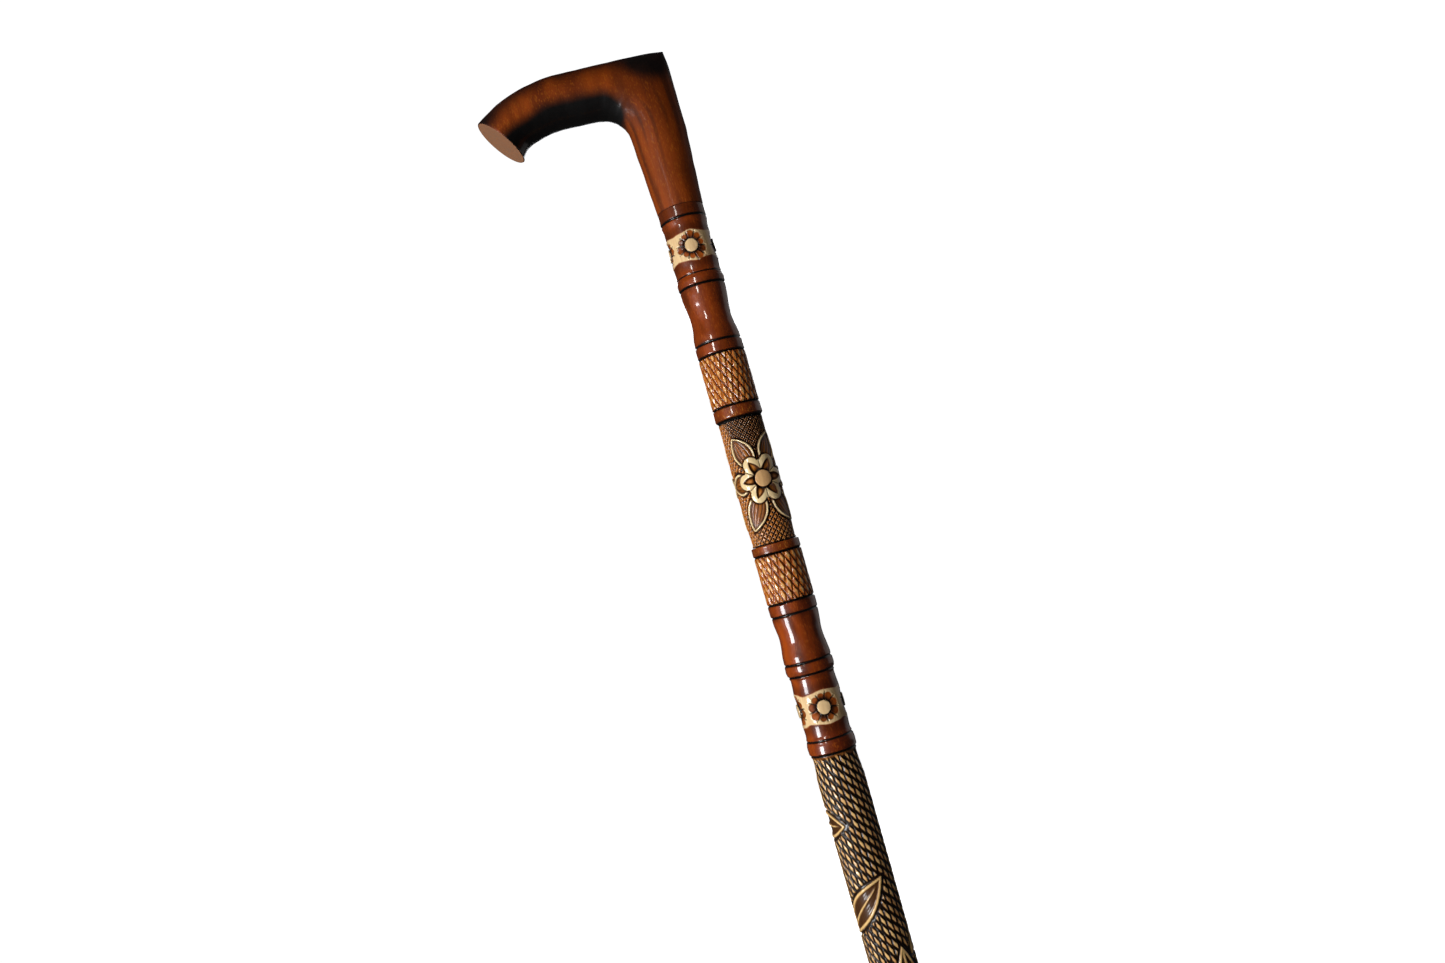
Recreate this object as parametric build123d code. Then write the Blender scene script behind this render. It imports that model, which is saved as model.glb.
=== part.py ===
from build123d import *
from math import atan2, cos, degrees, radians, sin
import os

# Walking cane with one ground contact: a turned and carved hardwood shaft, an L-shaped
# hardwood handle glued to its top over a threaded stud, and a rubber ferrule with a
# steel washer pushed over its lower end.
# Millimetres. The origin is the centre of the ferrule's ground face, +Z runs up along
# the shaft, and the handle's arm points towards -X. Y = 0 is the plane of symmetry.

# ---------------------------------------------------------------- driving dimensions
overall_height = 914.0        # ground to the top of the handle
handle_height = 96.0          # glue joint to the top of the handle
joint_radius = 13.6           # handle and shaft at the glue joint

# handle: the arm's round section, its straight run, its bend and its flared nose
arm_radius = 15.4             # the arm is round, so this is also its half width
arm_straight = 45.0           # shaft axis to the start of the bend
arm_drop = 2.2                # how far the arm's top falls from the back corner to there
bend_radius = 72.0            # of the arm's centre line
bend_angle = 39.0             # degrees the arm turns down before the end cut
nose_slim = 1.4               # how much the underside thins along the bend
nose_flare = 3.2              # how far it then flares out at the end cut
nose_flare_angle = 10.0       # the last degrees of the bend, over which it flares
neck_depth = 16.4             # half the neck's depth, front to back, under the arm
inner_radius = 15.0           # of the hollow between the arm and the neck
corner_soften = 0.8           # how much the top back corner is rubbed down
corner_steps = 7              # slices each side of that corner
bend_steps = 12               # slices along the bend

# shaft: the lengths of its turned zones, from the glue joint down
collar_length = 6.8
band_one_length = 33.5
ring_one_length = 6.7
waist_one_length = 33.7
ring_two_length = 7.2
hatch_one_length = 30.5
ring_three_length = 8.0
panel_length = 72.6
ring_four_length = 5.8
hatch_two_length = 27.8
ring_five_length = 7.2
waist_two_length = 27.5
ring_six_length = 7.0
band_two_length = 36.7
ring_seven_length = 8.0

# shaft: its radii
ring_radius = 13.9            # every turned ring
hatch_radius = 13.7           # the two hatched drums
band_radius = 13.6            # middle of the two flower bands
band_edge_radius = 12.9       # their two ends
waist_radius = 12.0           # narrowest place of the two waists
waist_edge_radius = 13.5      # their two ends
panel_radius = 13.6           # middle of the long flower panel
panel_edge_radius = 12.6      # its two ends
lower_edge_radius = 12.4      # under the last ring
lower_swell_radius = 13.35    # the lower shaft's thickest place
lower_swell_drop = 18.0       # and how far below the last ring
tip_radius = 11.1             # the plain end that the ferrule fits

# burnt V-grooves beside the rings
groove_width = 1.1
groove_depth = 0.7

# rubber ferrule and its washer
ferrule_height = 42.0
ferrule_base_radius = 18.0
ferrule_foot_height = 9.0     # the wide foot, below the tapered sleeve
ferrule_wall = 3.0            # of the sleeve at its mouth
ferrule_floor = 8.0           # rubber between the ground and the washer
ferrule_slack = 0.05          # radial, between the shaft's end and the socket
ferrule_edge = 1.2            # rounding of the ferrule's outer edges
rib_height = 1.0              # of the gripping ribs round the sleeve
rib_width = 2.2
rib_pitch = 5.0
rib_count = 3
tread_depth = 1.4             # of the ring grooves in the ground face
tread_width = 2.0
tread_radii = (7.0, 11.5)     # inner radius of each ring groove
washer_thickness = 2.0
washer_slack = 0.25           # radial, between the washer and the socket
washer_hole_radius = 3.2

# threaded stud that joins the handle to the shaft
stud_radius = 4.0
stud_in_handle = 36.0
stud_in_shaft = 40.0
stud_end_gap = 1.0            # glue space beyond each end of the stud
stud_chamfer = 0.8

# ---------------------------------------------------------------- places worked out
joint_z = overall_height - handle_height
arm_axis_z = overall_height - arm_drop - arm_radius
shaft_end_z = ferrule_floor + washer_thickness
socket_radius = tip_radius + ferrule_slack
fit_length = ferrule_height - shaft_end_z


# ---------------------------------------------------------------- handle
def handle_section(inner, outer, turn):
    """One elliptical section of the handle, standing on the line from inner to outer.

    inner and outer are (x, z) points, and turn is the line's angle in degrees, counted
    from +X towards +Z. The section's other half axis is the arm's radius, or the
    half length of the line where the neck is thinner than the arm.
    """
    centre_x = (inner[0] + outer[0]) / 2
    centre_z = (inner[1] + outer[1]) / 2
    half_length = ((outer[0] - inner[0]) ** 2 + (outer[1] - inner[1]) ** 2) ** 0.5 / 2
    outward = (cos(radians(turn)), 0, sin(radians(turn)))
    along = (-sin(radians(turn)), 0, cos(radians(turn)))
    plane = Plane(origin=(centre_x, 0, centre_z), x_dir=outward, z_dir=along)
    return plane * Ellipse(half_length, min(half_length, arm_radius))


def corner_sections():
    """Sections that fan round the centre of the hollow, out to the top back corner."""
    pivot_x = -neck_depth - inner_radius
    pivot_z = arm_axis_z - arm_radius - inner_radius
    to_back = neck_depth - pivot_x
    to_top = overall_height - pivot_z
    top_slope = arm_drop / (arm_straight + neck_depth)
    corner = degrees(atan2(to_top, to_back))
    below = [corner * step / corner_steps for step in range(corner_steps)]
    above = [corner + (90 - corner) * step / corner_steps for step in range(corner_steps)]
    sections = []
    for turn in below + above + [90]:
        across = (cos(radians(turn)), sin(radians(turn)))
        if turn < corner:
            reach = to_back / across[0]
        else:
            reach = (to_top - top_slope * to_back) / (across[1] - top_slope * across[0])
        if turn == corner:
            reach -= corner_soften
        inner = (pivot_x + inner_radius * across[0], pivot_z + inner_radius * across[1])
        outer = (pivot_x + reach * across[0], pivot_z + reach * across[1])
        sections.append(handle_section(inner, outer, turn))
    return sections


def bend_sections():
    """Sections along the bend, with the underside flaring out towards the end cut."""
    sections = []
    for step in range(bend_steps + 1):
        bend = bend_angle * step / bend_steps
        flare_start = bend_angle - nose_flare_angle
        slim_share = min(1, bend / flare_start)
        flare_share = max(0, bend - flare_start) / nose_flare_angle
        below = arm_radius - nose_slim * slim_share + nose_flare * flare_share ** 2
        centre_x = -arm_straight - bend_radius * sin(radians(bend))
        centre_z = arm_axis_z - bend_radius * (1 - cos(radians(bend)))
        up = (-sin(radians(bend)), cos(radians(bend)))
        inner = (centre_x - below * up[0], centre_z - below * up[1])
        outer = (centre_x + arm_radius * up[0], centre_z + arm_radius * up[1])
        sections.append(handle_section(inner, outer, 90 + bend))
    return sections


def make_handle():
    bottom = handle_section((-joint_radius, joint_z), (joint_radius, joint_z), 0)
    sections = [bottom] + corner_sections() + bend_sections()
    slices = [loft(pair, ruled=True) for pair in zip(sections, sections[1:])]
    body = slices[0] + slices[1:]
    bore_length = stud_in_handle + stud_end_gap
    bore = Pos(0, 0, joint_z) * Cylinder(
        stud_radius, bore_length, align=(Align.CENTER, Align.CENTER, Align.MIN)
    )
    return body - bore


# ---------------------------------------------------------------- shaft
class Outline:
    """The shaft's outer line, drawn downwards in the X-Z plane from the glue joint."""

    def __init__(self, radius, z):
        self.radius = radius
        self.z = z
        self.edges = [Line((0, 0, z), (radius, 0, z))]

    def line(self, radius, drop):
        """A straight run to a new radius, drop lower."""
        start = (self.radius, 0, self.z)
        self.radius = radius
        self.z -= drop
        self.edges.append(Line(start, (radius, 0, self.z)))

    def groove(self):
        """A V-groove cut half into the zone above and half into the one below."""
        mouth = self.radius
        self.line(mouth - groove_depth, groove_width / 2)
        self.line(mouth, groove_width / 2)

    def ring(self, length):
        """A plain ring that steps out from its neighbours."""
        if self.radius != ring_radius:
            self.line(ring_radius, 0)
        self.line(ring_radius, length)

    def drum(self, radius, length):
        """A straight drum between two grooves."""
        if self.radius != radius:
            self.line(radius, 0)
        self.line(radius, length - groove_width)

    def curve(self, edge, middle, length):
        """An arc from edge to edge radius: a waist if the middle is the thinner."""
        if self.radius != edge:
            self.line(edge, 0)
        start = (edge, 0, self.z)
        half_way = (middle, 0, self.z - length / 2)
        self.z -= length
        self.edges.append(ThreePointArc(start, half_way, (edge, 0, self.z)))


def make_shaft():
    outline = Outline(joint_radius, joint_z)
    outline.line(joint_radius, collar_length - groove_width / 2)
    outline.groove()
    outline.curve(band_edge_radius, band_radius, band_one_length - groove_width / 2)
    outline.ring(ring_one_length - groove_width / 2)
    outline.groove()
    outline.curve(waist_edge_radius, waist_radius, waist_one_length - groove_width)
    outline.groove()
    outline.ring(ring_two_length - groove_width)
    outline.groove()
    outline.drum(hatch_radius, hatch_one_length)
    outline.groove()
    outline.ring(ring_three_length - groove_width)
    outline.groove()
    outline.curve(panel_edge_radius, panel_radius, panel_length - groove_width / 2)
    outline.ring(ring_four_length - groove_width / 2)
    outline.groove()
    outline.drum(hatch_radius, hatch_two_length)
    outline.groove()
    outline.ring(ring_five_length - groove_width)
    outline.groove()
    outline.curve(waist_edge_radius, waist_radius, waist_two_length - groove_width)
    outline.groove()
    outline.ring(ring_six_length - groove_width)
    outline.groove()
    outline.curve(band_edge_radius, band_radius, band_two_length - groove_width)
    outline.groove()
    outline.ring(ring_seven_length - groove_width)
    outline.groove()
    outline.line(lower_edge_radius, 0)
    swell_start = (outline.radius, 0, outline.z)
    swell_end = (lower_swell_radius, 0, outline.z - lower_swell_drop)
    outline.edges.append(Spline(swell_start, swell_end, tangents=((1, 0, -3), (0, 0, -1))))
    outline.radius = lower_swell_radius
    outline.z -= lower_swell_drop
    outline.line(tip_radius, outline.z - ferrule_height)
    outline.line(tip_radius, fit_length)
    outline.line(0, 0)
    outline.edges.append(Line((0, 0, shaft_end_z), (0, 0, joint_z)))
    body = revolve(make_face(outline.edges), Axis.Z)
    bore_length = stud_in_shaft + stud_end_gap
    bore = Pos(0, 0, joint_z) * Cylinder(
        stud_radius, bore_length, align=(Align.CENTER, Align.CENTER, Align.MAX)
    )
    return body - bore


# ---------------------------------------------------------------- joining stud
def make_stud():
    length = stud_in_handle + stud_in_shaft
    middle_z = joint_z + (stud_in_handle - stud_in_shaft) / 2
    stud = Pos(0, 0, middle_z) * Cylinder(stud_radius, length)
    return chamfer(stud.edges().filter_by(GeomType.CIRCLE), stud_chamfer)


# ---------------------------------------------------------------- ferrule and washer
def make_ferrule():
    mouth_radius = socket_radius + ferrule_wall
    foot = Cylinder(
        ferrule_base_radius, ferrule_foot_height, align=(Align.CENTER, Align.CENTER, Align.MIN)
    )
    foot = fillet(foot.edges().filter_by(GeomType.CIRCLE), ferrule_edge)
    sleeve_length = ferrule_height - ferrule_foot_height / 2
    sleeve = Pos(0, 0, ferrule_foot_height / 2) * Cone(
        ferrule_base_radius - 2 * ferrule_edge,
        mouth_radius,
        sleeve_length,
        align=(Align.CENTER, Align.CENTER, Align.MIN),
    )
    body = foot + sleeve
    for index in range(rib_count):
        rib_z = ferrule_height - rib_width / 2 - index * rib_pitch
        rib = Pos(0, 0, rib_z) * Cylinder(mouth_radius + rib_height, rib_width)
        body += rib
    socket = Pos(0, 0, ferrule_floor) * Cylinder(
        socket_radius, ferrule_height, align=(Align.CENTER, Align.CENTER, Align.MIN)
    )
    body -= socket
    for inner in tread_radii:
        wide = Cylinder(inner + tread_width, 2 * tread_depth)
        narrow = Cylinder(inner, 2 * tread_depth)
        body -= wide - narrow
    return body


def make_washer():
    radius = socket_radius - washer_slack
    bottom = (Align.CENTER, Align.CENTER, Align.MIN)
    disc = Cylinder(radius, washer_thickness, align=bottom)
    hole = Cylinder(washer_hole_radius, washer_thickness, align=bottom)
    return Pos(0, 0, ferrule_floor) * (disc - hole)


# ---------------------------------------------------------------- write every node
pieces = {
    "handle": make_handle(),
    "shaft": make_shaft(),
    "joining_stud": make_stud(),
    "ferrule": make_ferrule(),
    "ferrule_washer": make_washer(),
}
os.makedirs("parts", exist_ok=True)
for node, piece in pieces.items():
    export_step(piece, f"parts/{node}.step")
    box = piece.bounding_box()
    print(node, round(piece.volume), "mm3, from", box.min, "to", box.max)
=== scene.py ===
# %% [markdown]
# # A carved walking cane
# This cane is a handle of stained wood on a turned and carved shaft, with a rubber foot. The packed
# CAD model holds every size. Its solids are plain, so each wooden piece gets a finer skin here, with
# the carving cut into it. The first lines load the model and give a way to read the box of each part.

import math

import bpy
import numpy as np
from mathutils import Matrix, Vector


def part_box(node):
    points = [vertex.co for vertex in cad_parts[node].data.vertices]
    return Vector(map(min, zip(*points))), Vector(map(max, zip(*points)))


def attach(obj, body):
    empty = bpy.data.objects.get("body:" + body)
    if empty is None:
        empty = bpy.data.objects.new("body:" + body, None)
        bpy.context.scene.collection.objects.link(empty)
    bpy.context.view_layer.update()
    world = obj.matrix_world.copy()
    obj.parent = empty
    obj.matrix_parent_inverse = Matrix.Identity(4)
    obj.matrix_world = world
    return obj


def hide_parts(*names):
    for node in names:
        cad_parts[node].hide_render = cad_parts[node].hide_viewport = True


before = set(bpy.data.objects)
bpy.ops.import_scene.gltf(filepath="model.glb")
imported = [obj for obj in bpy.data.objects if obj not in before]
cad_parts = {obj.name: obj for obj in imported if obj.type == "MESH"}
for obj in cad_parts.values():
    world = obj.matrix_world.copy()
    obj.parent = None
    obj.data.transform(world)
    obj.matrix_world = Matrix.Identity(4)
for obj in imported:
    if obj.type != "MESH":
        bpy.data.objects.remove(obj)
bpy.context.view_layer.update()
MM = 0.001
scene = bpy.context.scene
link = scene.collection.objects.link
print("pieces in the frame:", sorted(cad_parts))

# %% [markdown]
# ## Where the parts of the shaft begin and end
# A turner works down the shaft from the seam under the handle: a collar, a band of flowers, a bead,
# a waist, and so on. If the heights were typed in, moving one would break the next. So only the
# lengths are given, and the heights are added up from the seam.

# %% Lengths down the shaft
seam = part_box("shaft")[1].z / MM
lengths = {
    "collar": 6.8, "band_one": 33.5, "ring_one": 6.7, "waist_one": 33.7, "ring_two": 7.2,
    "hatch_one": 30.5, "ring_three": 8.0, "panel": 72.6, "ring_four": 5.8, "hatch_two": 27.8,
    "ring_five": 7.2, "waist_two": 27.5, "ring_six": 7.0, "band_two": 36.7, "ring_seven": 8.0,
}
top_of = {}
bottom_of = {}
level = seam
for zone, length in lengths.items():
    top_of[zone] = level
    level -= length
    bottom_of[zone] = level
lattice_top = level
lattice_end = 118.0
top_of["lattice"], bottom_of["lattice"] = lattice_top, lattice_end
top_of["tip"], bottom_of["tip"] = lattice_end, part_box("shaft")[0].z / MM
print("the seam is at", round(seam, 1), "mm and the lattice starts at", round(lattice_top, 1), "mm")

# %% [markdown]
# ## The turned outline
# Seen from the side, the shaft swells and narrows. At each place where the cutter stopped the outline
# is level, so a half wave of a cosine joins each pair of stations. A spline can overshoot beside a
# bead, and the cosine can't.

# %% The outline as stations in each zone, (share of its length, radius in mm)
stations = {
    "collar": [(0.0, 13.6), (1.0, 13.6)],
    "band_one": [(0.16, 13.0), (0.65, 13.7), (0.93, 13.1)],
    "ring_one": [(0.1, 13.4), (0.45, 13.9), (0.9, 13.75)],
    "waist_one": [(0.04, 13.4), (0.56, 11.9), (0.96, 13.5)],
    "ring_two": [(0.1, 13.8), (0.9, 13.85)],
    "hatch_one": [(0.03, 13.75), (0.97, 13.75)],
    "ring_three": [(0.1, 13.9), (0.75, 13.95), (0.97, 13.3)],
    "panel": [(0.03, 12.75), (0.5, 13.15), (0.8, 13.0), (0.98, 12.5)],
    "ring_four": [(0.15, 13.85), (0.85, 13.9)],
    "hatch_two": [(0.03, 13.75), (0.97, 13.7)],
    "ring_five": [(0.1, 13.75), (0.9, 13.65)],
    "waist_two": [(0.05, 13.3), (0.48, 12.35), (0.95, 13.5)],
    "ring_six": [(0.1, 13.75), (0.55, 13.9), (0.93, 13.5)],
    "band_two": [(0.06, 12.5), (0.5, 13.55), (0.92, 12.65)],
    "ring_seven": [(0.08, 13.4), (0.4, 13.75), (0.9, 13.6)],
    "lattice": [(0.007, 12.4), (0.05, 13.4), (1.0, 11.9)],
    "tip": [(0.1, 11.8), (0.68, 11.0), (1.0, 11.0)],
}
heights = []
radii = []
for zone, pairs in stations.items():
    for share, radius in pairs:
        heights.append(top_of[zone] - share * (top_of[zone] - bottom_of[zone]))
        radii.append(radius)
heights = np.array(heights[::-1])
radii = np.array(radii[::-1])


def outline(height):
    """Radius of the shaft: from one station to the next it follows half a cosine wave."""
    above = np.clip(np.searchsorted(heights, height), 1, len(heights) - 1)
    low = heights[above - 1]
    share = np.clip((height - low) / (heights[above] - low), 0, 1)
    eased = (1 - np.cos(np.pi * share)) / 2
    return radii[above - 1] + (radii[above] - radii[above - 1]) * eased


print("stations:", len(heights), "narrowest", radii.min(), "widest", radii.max())

# %% [markdown]
# ## From numbers to a mesh
# Every surface here is rows of points: each row is a loop around the wood, and the rows follow its
# length. Four-sided faces join neighbours, and a fan closes each end. Marks such as "bare" or "cut"
# are stored on the points, so a material can read where the knife has been, and also where shade and
# highlights are painted into the colour.

# %% A closed skin from rows of points


def whole_turn(count):
    """Equal angles all the way round, without the last, which would be the first again."""
    return np.linspace(0, 2 * math.pi, count, endpoint=False)


def closed_skin(name, points, marks):
    """Mesh object from points (rows, columns, 3) in metres. Rows run so that row × column points out.
    Face (i, j) joins rows i and i + 1 and columns j and j + 1, and the last column joins the first."""
    rows, columns = points.shape[:2]
    index = np.arange(rows * columns).reshape(rows, columns)
    right = np.roll(index, -1, axis=1)
    quads = np.stack([index[:-1], index[1:], right[1:], right[:-1]], -1).reshape(-1, 4)
    start, end = rows * columns, rows * columns + 1
    start_fan = np.stack([np.full(columns, start), index[0], right[0]], -1)
    end_fan = np.stack([np.full(columns, end), right[-1], index[-1]], -1)
    corners = np.concatenate([quads.ravel(), start_fan.ravel(), end_fan.ravel()])
    loop_starts = np.concatenate([np.arange(len(quads)) * 4, quads.size + np.arange(2 * columns) * 3])
    middles = points[[0, -1]].mean(axis=1)
    places = np.concatenate([points.reshape(-1, 3), middles])
    mesh = bpy.data.meshes.new(name)
    mesh.vertices.add(len(places))
    mesh.vertices.foreach_set("co", places.ravel())
    mesh.loops.add(len(corners))
    mesh.loops.foreach_set("vertex_index", corners)
    mesh.polygons.add(len(loop_starts))
    mesh.polygons.foreach_set("loop_start", loop_starts)
    mesh.update(calc_edges=True)
    smooth = np.arange(len(loop_starts)) < len(quads)
    mesh.polygons.foreach_set("use_smooth", smooth)
    for mark, values in marks.items():
        layer = mesh.attributes.new(mark, "FLOAT", "POINT")
        values = np.broadcast_to(values, (rows, columns))
        spread = np.concatenate([values.ravel(), values[[0, -1]].mean(axis=1)])
        layer.data.foreach_set("value", spread.astype(np.float32))
    piece = bpy.data.objects.new(name, mesh)
    link(piece)
    print(name, "has", 2 * len(quads) + 2 * columns, "triangles")
    return piece


# %% [markdown]
# ## Carving with formulas
# A carver's marks are never quite even. One tool eases from 0 to 1 between two edges, as a blade
# rises out of the wood. Another gives a gentle unevenness that closes around the shaft: a sum of
# waves with fixed seeds, so it is the same every time.

# %% Tools for carving
DEGREE = math.pi / 180
front = -101.0
shaft_radius = 13.5


def ease(low, high, x):
    """0 before low, 1 after high, and 3t² − 2t³ between them, where t is the share of the way."""
    t = np.clip((x - low) / (high - low), 0, 1)
    return t * t * (3 - 2 * t)


def fade(low, high, x):
    """The other way round: 1 before low and 0 after high."""
    return 1 - ease(low, high, x)


def uneven(turn, height, seed, size, waves=14):
    """A smooth field of about −1 to 1: the sum of waves about `size` mm long, in all directions.
    Each has a whole number of turns around the shaft, so the field closes on itself."""
    draw = np.random.default_rng(seed)
    most = max(2, round(2 * math.pi * shaft_radius / size))
    total = np.zeros(np.broadcast(turn, height).shape)
    for _ in range(waves):
        around = draw.integers(-most, most + 1)
        along = draw.normal() * 2 * math.pi / size
        phase = draw.uniform(0, 2 * math.pi)
        total += np.sin(around * turn * DEGREE + along * height + phase)
    return total / math.sqrt(waves / 2) / 1.6


def blank(turn):
    """The marks of untouched, stained wood: nothing bare, thin, cut or burnt."""
    return {mark: np.zeros(turn.shape) for mark in ("bare", "amber", "cut", "char")}


def flat(turn, height, at_turn, at_height, radius=shaft_radius, repeat=360):
    """Millimetres around and up from a place, which comes again after every `repeat` degrees."""
    across = ((turn - at_turn + repeat / 2) % repeat - repeat / 2) * DEGREE * radius
    return across, height - at_height


def lay(marks, keep, **added):
    """Each named mark becomes its old value × keep + what is added."""
    for mark, more in added.items():
        marks[mark] = marks[mark] * keep + more


# %% [markdown]
# ## Burnt rings
# Narrow V grooves separate the zones. On a lathe they are cut with a point and burnt with a wire, so
# they are deep, crisp and black. One function lowers the surface near each groove and marks it as
# charred, and every piece of the shaft calls it.

# %% Grooves around the shaft
fine_cut, broad_cut = 0.62, 0.95
cut_depth, ring_waver = 0.75, 0.12
gather_share, gather_reach = 0.6, 2.6
ring_cuts = dict.fromkeys(lengths, fine_cut)
ring_cuts.update({"band_one": 0.3, "panel": 0.35, "band_two": 0.5})
ring_cuts.update({"ring_three": broad_cut, "lattice": broad_cut})


def burnt_rings(turn, height, relief, marks):
    """Adds a V groove at the bottom of each zone. Its depth falls off in a straight line to half the
    groove's width and a little more, and the stain that gathers beside it fades as exp(−distance)."""
    waver = ring_waver * uneven(turn, height, 7, 25)
    patchy = np.clip(0.6 + 0.7 * uneven(turn, height, 9, 11), 0, 1.4)
    for zone, half in ring_cuts.items():
        away = np.abs(height - bottom_of[zone] + waver)
        relief = relief - cut_depth * np.clip(1 - away / (half + 0.25), 0, 1)
        marks["char"] = np.maximum(marks["char"], fade(half * 0.75, half * 1.5 + 0.15, away))
        gathered = gather_share * np.exp(-away / gather_reach) * patchy
        marks["cut"] = np.maximum(marks["cut"], gathered * (marks["bare"] < 0.05) * (half >= fine_cut))
    return relief, marks


# %% [markdown]
# ## One piece of the shaft
# The real shaft is a single stick, but carving this fine needs so many faces that it is cut at its
# black grooves, where no seam can show. Each piece takes a carving: a function that gives the relief
# in millimetres and the marks at every turn and height.

# %% Build a piece of the shaft
pieces = {}


def shaft_piece(name, top, bottom, grid, carving):
    """Points at radius outline(height) + relief, for every turn (degrees from the front) and height.
    The grid gives the number of points around and the distance between rows in mm."""
    columns, step = grid
    rows = math.ceil((top - bottom) / step) + 1
    height, turn = np.meshgrid(
        np.linspace(top, bottom, rows), np.linspace(-180, 180, columns, endpoint=False), indexing="ij"
    )
    relief, marks = burnt_rings(turn, height, *carving(turn, height))
    radius = outline(height) + relief
    angle = (turn + front) * DEGREE
    points = np.stack([radius * np.cos(angle), radius * np.sin(angle), height], -1) * MM
    piece = closed_skin(name, points, marks)
    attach(piece, "cane")
    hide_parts("shaft")
    pieces[name] = piece


def plain(turn, height):
    """Sanded wood: a slight unevenness of a few hundredths of a millimetre, and darker streaks."""
    marks = blank(turn)
    marks["cut"] = 0.42 * ease(0.15, 1.0, uneven(turn, height * 0.2, 5, 9))
    return 0.04 * uneven(turn, height, 3, 12), marks


# %% [markdown]
# ## The bands of small flowers
# Around each end of the turned part runs a pale band with four chip-carved flowers: a flat button, a
# deep ring around it, and petals scooped outwards between knife cuts. Polar coordinates around the
# button describe all the petals at once, and some randomness keeps them from looking stamped.

# %% A band with four flowers
button, petal_reach = 3.9, 9.0
rim_drop, scoop_depth, knife_depth, moat_depth = 0.25, 0.85, 0.5, 0.45
first_twist = 8.0


def flower_band(middle, first, petals, half_band, seed):
    """Carving with four flowers at quarter turns from `first`, on a bare band around `middle`. A
    petal ends at its reach − 1.7 × side², where side goes from −1 to 1 across the petal."""
    draw = np.random.default_rng(seed)
    length = draw.uniform(-1.3, 0.7, (4, petals))
    tint = draw.uniform(0.0, 1.0, (4, petals))
    twist = draw.uniform(0, 360, 4)
    twist[0] = first_twist

    def carving(turn, height):
        relief, marks = plain(turn, height)
        which = (np.floor((turn - first + 45) / 90) % 4).astype(int)
        across, up = flat(turn, height, first, middle, outline(height), 90)
        away = np.hypot(across, up)
        around = (np.degrees(np.arctan2(up, across)) + twist[which]) % 360
        petal = np.floor(around / (360 / petals)).astype(int) % petals
        side = 2 * ((around / (360 / petals)) % 1) - 1
        cut_reach = petal_reach + length[which, petal]
        reach = cut_reach - 1.7 * side**2
        inside = ease(button, button + 0.3, away) * fade(reach - 0.35, reach + 0.15, away)
        scoop = np.clip((reach - away) / (petal_reach - button), 0, 1) * (1 - 0.55 * side**2)
        gap = (1 - np.abs(side)) * away * math.pi / petals
        outward = (away - button) / (reach - button)
        knife = fade(0.25, 0.6, gap) * ease(button + 0.4, button + 0.9, away)
        knife = knife * fade(cut_reach - 0.4, cut_reach + 0.5, away)
        ring = ease(button - 0.15, button + 0.1, away) * fade(button + 0.55, button + 1.1, away)
        rim = ease(reach - 0.55, reach - 0.2, away) * fade(reach, reach + 0.3, away)
        relief = relief - inside * (rim_drop + scoop_depth * scoop)
        relief = relief - knife_depth * knife - moat_depth * ring
        edge = half_band + 0.35 * uneven(turn, height * 0, seed + 1, 7)
        edge = edge + 1.6 * np.exp(-((across / 7.5) ** 2))
        bare = fade(edge - 0.25, edge + 0.25, np.abs(up))
        disc = fade(button - 0.2, button, away)
        marks["bare"] = np.maximum(bare * (1 - inside), 0.65 * disc)
        marks["amber"] = np.maximum(inside, disc)
        # partly painted shade: each petal darkens towards the button, where its scoop is deepest, and
        # towards its sides; the tint adds a random tone to each petal. All of it goes into the cut mark
        dark = 0.8 * fade(0.1, 0.75, outward) + 0.4 * side**2 + 0.7 * tint[which, petal] - 0.15
        marks["cut"] = np.maximum(np.clip(dark, 0, 0.95) * inside, 0.35 * rim)
        past_edge = np.abs(up) - edge
        beside = ease(0.2, 0.7, past_edge) * fade(2.0, 8.0, past_edge)
        collar = 0.55 * ease(bottom_of["collar"] - 0.5, bottom_of["collar"] + 0.5, height)
        marks["cut"] = np.maximum(marks["cut"], np.maximum(0.5 * beside, collar))
        marks["char"] = np.maximum(0.95 * ring, 0.85 * knife)
        return relief, marks

    return carving


band_grid = (288, 0.3)
end_one, end_two = bottom_of["ring_one"], bottom_of["ring_seven"]
carve_flowers_one = flower_band(end_one + 22.5, 3.0, 10, 7.1, 11)
carve_flowers_two = flower_band(end_two + 25.7, 6.7, 9, 8.0, 23)
shaft_piece("flower_band_upper", seam, end_one, band_grid, carve_flowers_one)
shaft_piece("flower_band_lower", top_of["band_two"], end_two, band_grid, carve_flowers_two)

# %% [markdown]
# ## The turned waists
# Between the carved zones the shaft narrows to a smooth waist between two beads. Nothing is cut
# there except the grooves, so the same piece builder is used with the plain carving.

# %% The two waists
waist_grid = (192, 0.35)
shaft_piece("waist_upper", top_of["waist_one"], bottom_of["ring_two"], waist_grid, plain)
shaft_piece("waist_lower", top_of["ring_five"], bottom_of["ring_six"], waist_grid, plain)

# %% [markdown]
# ## The cross-hatched drums
# Two families of slanting grooves cross on each drum and leave long diamonds. A family is a wave: a
# whole number of grooves around the shaft, and a slope. The distance to the nearest groove gives the
# depth, and far from both families the wood stays pale.

# %% Two families of helical grooves
hatch_half, hatch_depth = 0.95, 0.7


def family(turn, height, starts, slope, shift):
    """Distance in mm, signed and at right angles, to the nearest of `starts` helical grooves that
    climb `slope` mm for each degree of turn. `shift` moves them all, as a share of their spacing."""
    phase = starts * (turn - height / slope) / 360 + shift
    spacing = 360 / starts * DEGREE * shaft_radius
    rise = abs(slope) / (DEGREE * shaft_radius)
    return ((phase + 0.5) % 1 - 0.5) * spacing * rise / math.hypot(1, rise)


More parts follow.
